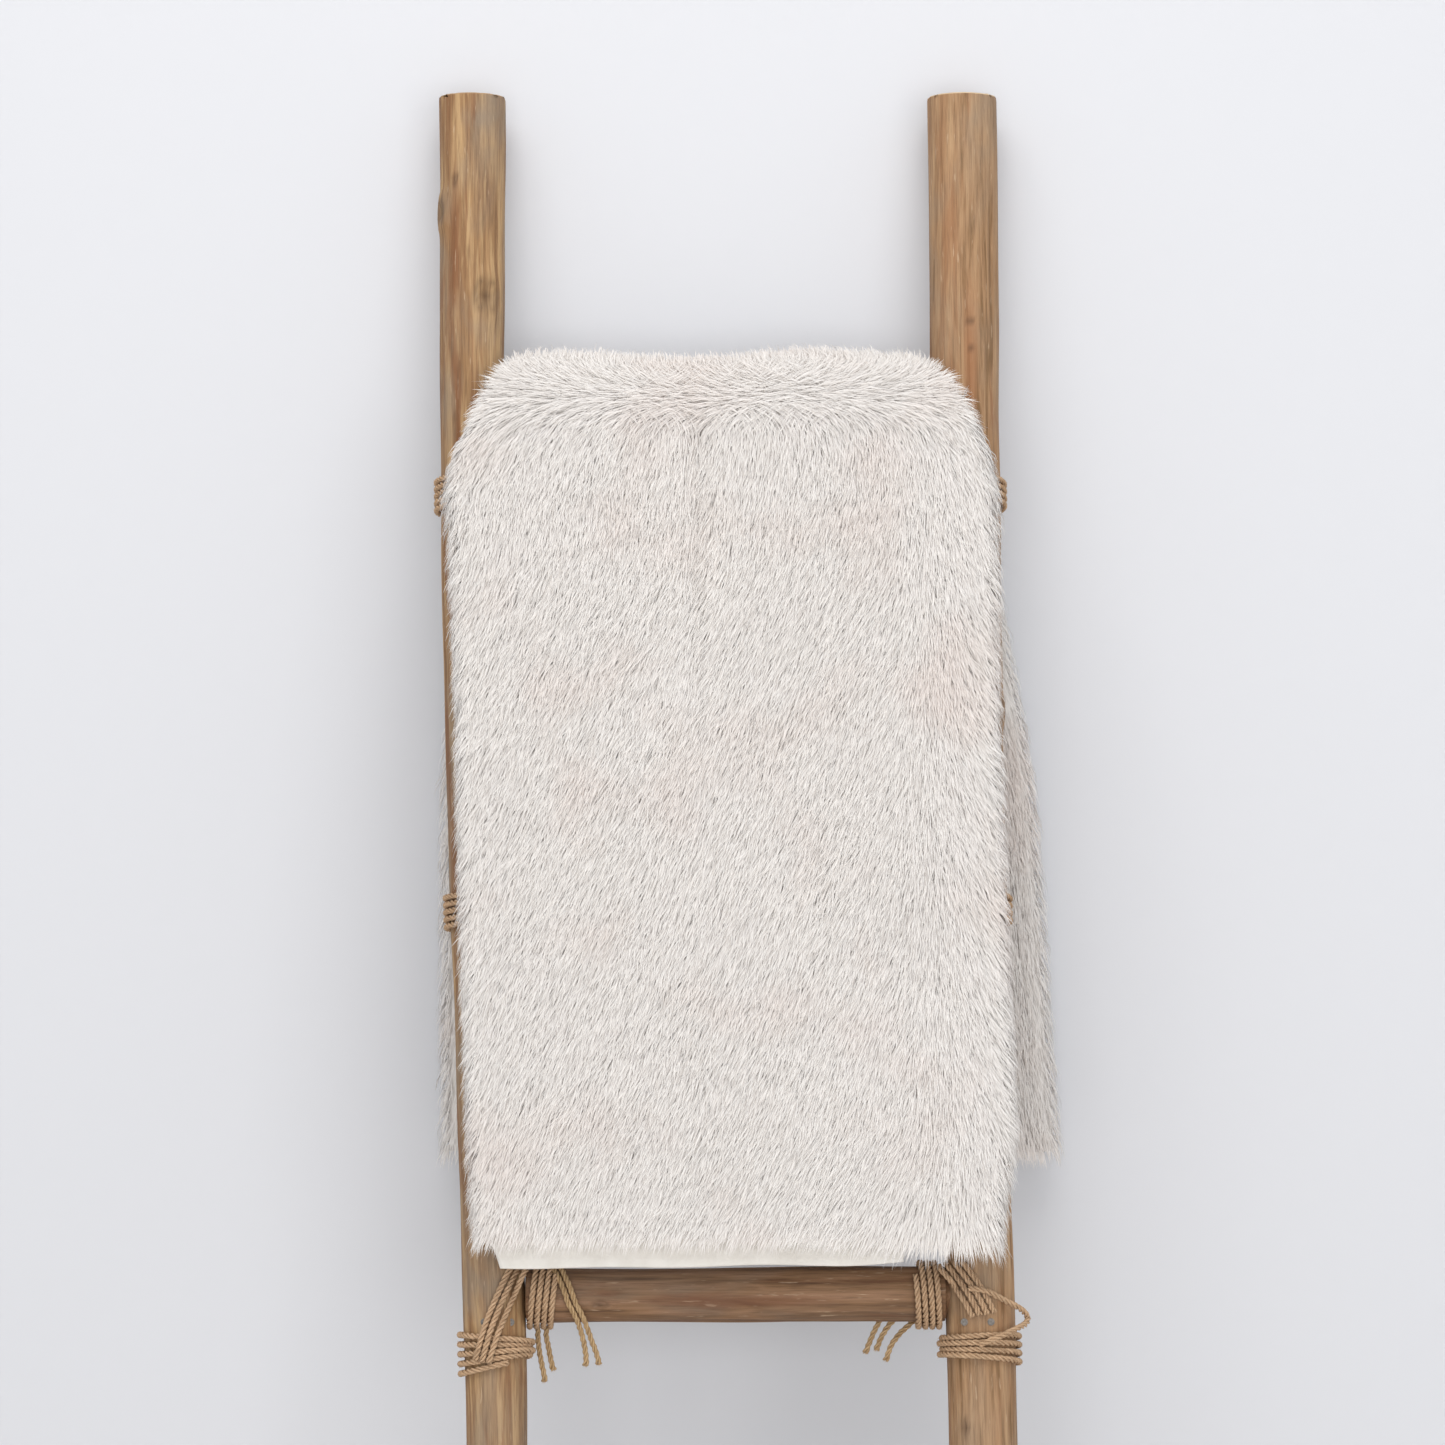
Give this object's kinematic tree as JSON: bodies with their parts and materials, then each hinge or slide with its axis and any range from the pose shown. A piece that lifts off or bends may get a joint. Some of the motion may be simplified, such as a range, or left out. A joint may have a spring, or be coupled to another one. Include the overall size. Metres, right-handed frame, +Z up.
{
  "type": "blanket ladder with folded throw",
  "caption": "Leaning blanket ladder of peeled round branches with rope-lashed rungs and a folded long-pile fur throw hung over its top rung.",
  "frame": {"origin": "on the floor, midway between the feet, on the ladder's centre plane", "axes": "+Z up, +X to the right seen from the front, +Y towards the wall that the ladder leans on"},
  "size_m": [0.561, 0.417, 1.6695],
  "materials": {
    "post_wood": "peeled branch, weathered and unvarnished",
    "rung_wood": "peeled branch, darker and redder, unvarnished",
    "jute_rope": "three-ply twisted jute, hairy and matt",
    "nail_steel": "small bright nails",
    "throw_fur": "long white faux fur with faint taupe shading",
    "throw_lining": "plain cream brushed cloth"
  },
  "bodies": {
    "ladder": {"left_post": "post_wood", "right_post": "post_wood", "rung_1": "rung_wood", "rung_2": "rung_wood", "rung_3": "rung_wood", "rung_4": "rung_wood", "lashing_1_left": "jute_rope", "lashing_1_right": "jute_rope", "lashing_2_left": "jute_rope", "lashing_2_right": "jute_rope", "lashing_3_left": "jute_rope", "lashing_3_right": "jute_rope", "lashing_4_left": "jute_rope", "lashing_4_right": "jute_rope", "lashing_nails": "nail_steel", "tail_3_left_a": "jute_rope", "tail_3_left_b": "jute_rope", "tail_3_left_c": "jute_rope", "tail_3_left_d": "jute_rope", "tail_3_right_a": "jute_rope", "tail_3_right_b": "jute_rope", "tail_3_right_c": "jute_rope", "tail_4_left_a": "jute_rope", "tail_4_left_b": "jute_rope", "tail_4_right_a": "jute_rope", "tail_4_right_b": "jute_rope"},
    "throw": {"throw_front_drop": "throw_fur", "throw_lining": "throw_lining", "throw_saddle": "throw_fur", "throw_back_drop": "throw_fur"}
  },
  "joints": [
    {"name": "throw_lift", "type": "slide", "parent": "ladder", "child": "throw", "axis": [0, 0.2079, 0.9781], "range_m": [0, 1.15]}
  ]
}
